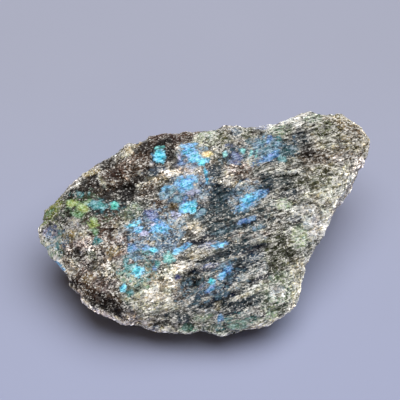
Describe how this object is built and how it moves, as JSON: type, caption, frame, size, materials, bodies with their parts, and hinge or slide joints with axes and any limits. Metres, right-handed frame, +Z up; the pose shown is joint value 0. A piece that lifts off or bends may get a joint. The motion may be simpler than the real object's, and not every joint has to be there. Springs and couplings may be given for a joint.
{
  "type": "rough labradorite chunk",
  "caption": "Rough, unpolished chunk of labradorite with a broad ledged cleavage face, broken sides and a flat fracture face that it rests on.",
  "frame": {"origin": "middle of the stone's bounding box on the surface it rests on", "axes": "+X along the stone's longest extent, towards its long narrow end; +Y towards the high back; the broad cleavage face leans towards -Y; +Z up, the shortest extent"},
  "size_m": [0.09, 0.0626, 0.0282],
  "materials": {
    "labradorite": "rough broken feldspar rock: waxy glints on fresh cleavage, matte grey-green, cream and brown-black grains, with patches of blue, cyan, green and gold sheen"
  },
  "bodies": {
    "root": {"labradorite_chunk": "labradorite"}
  },
  "joints": []
}
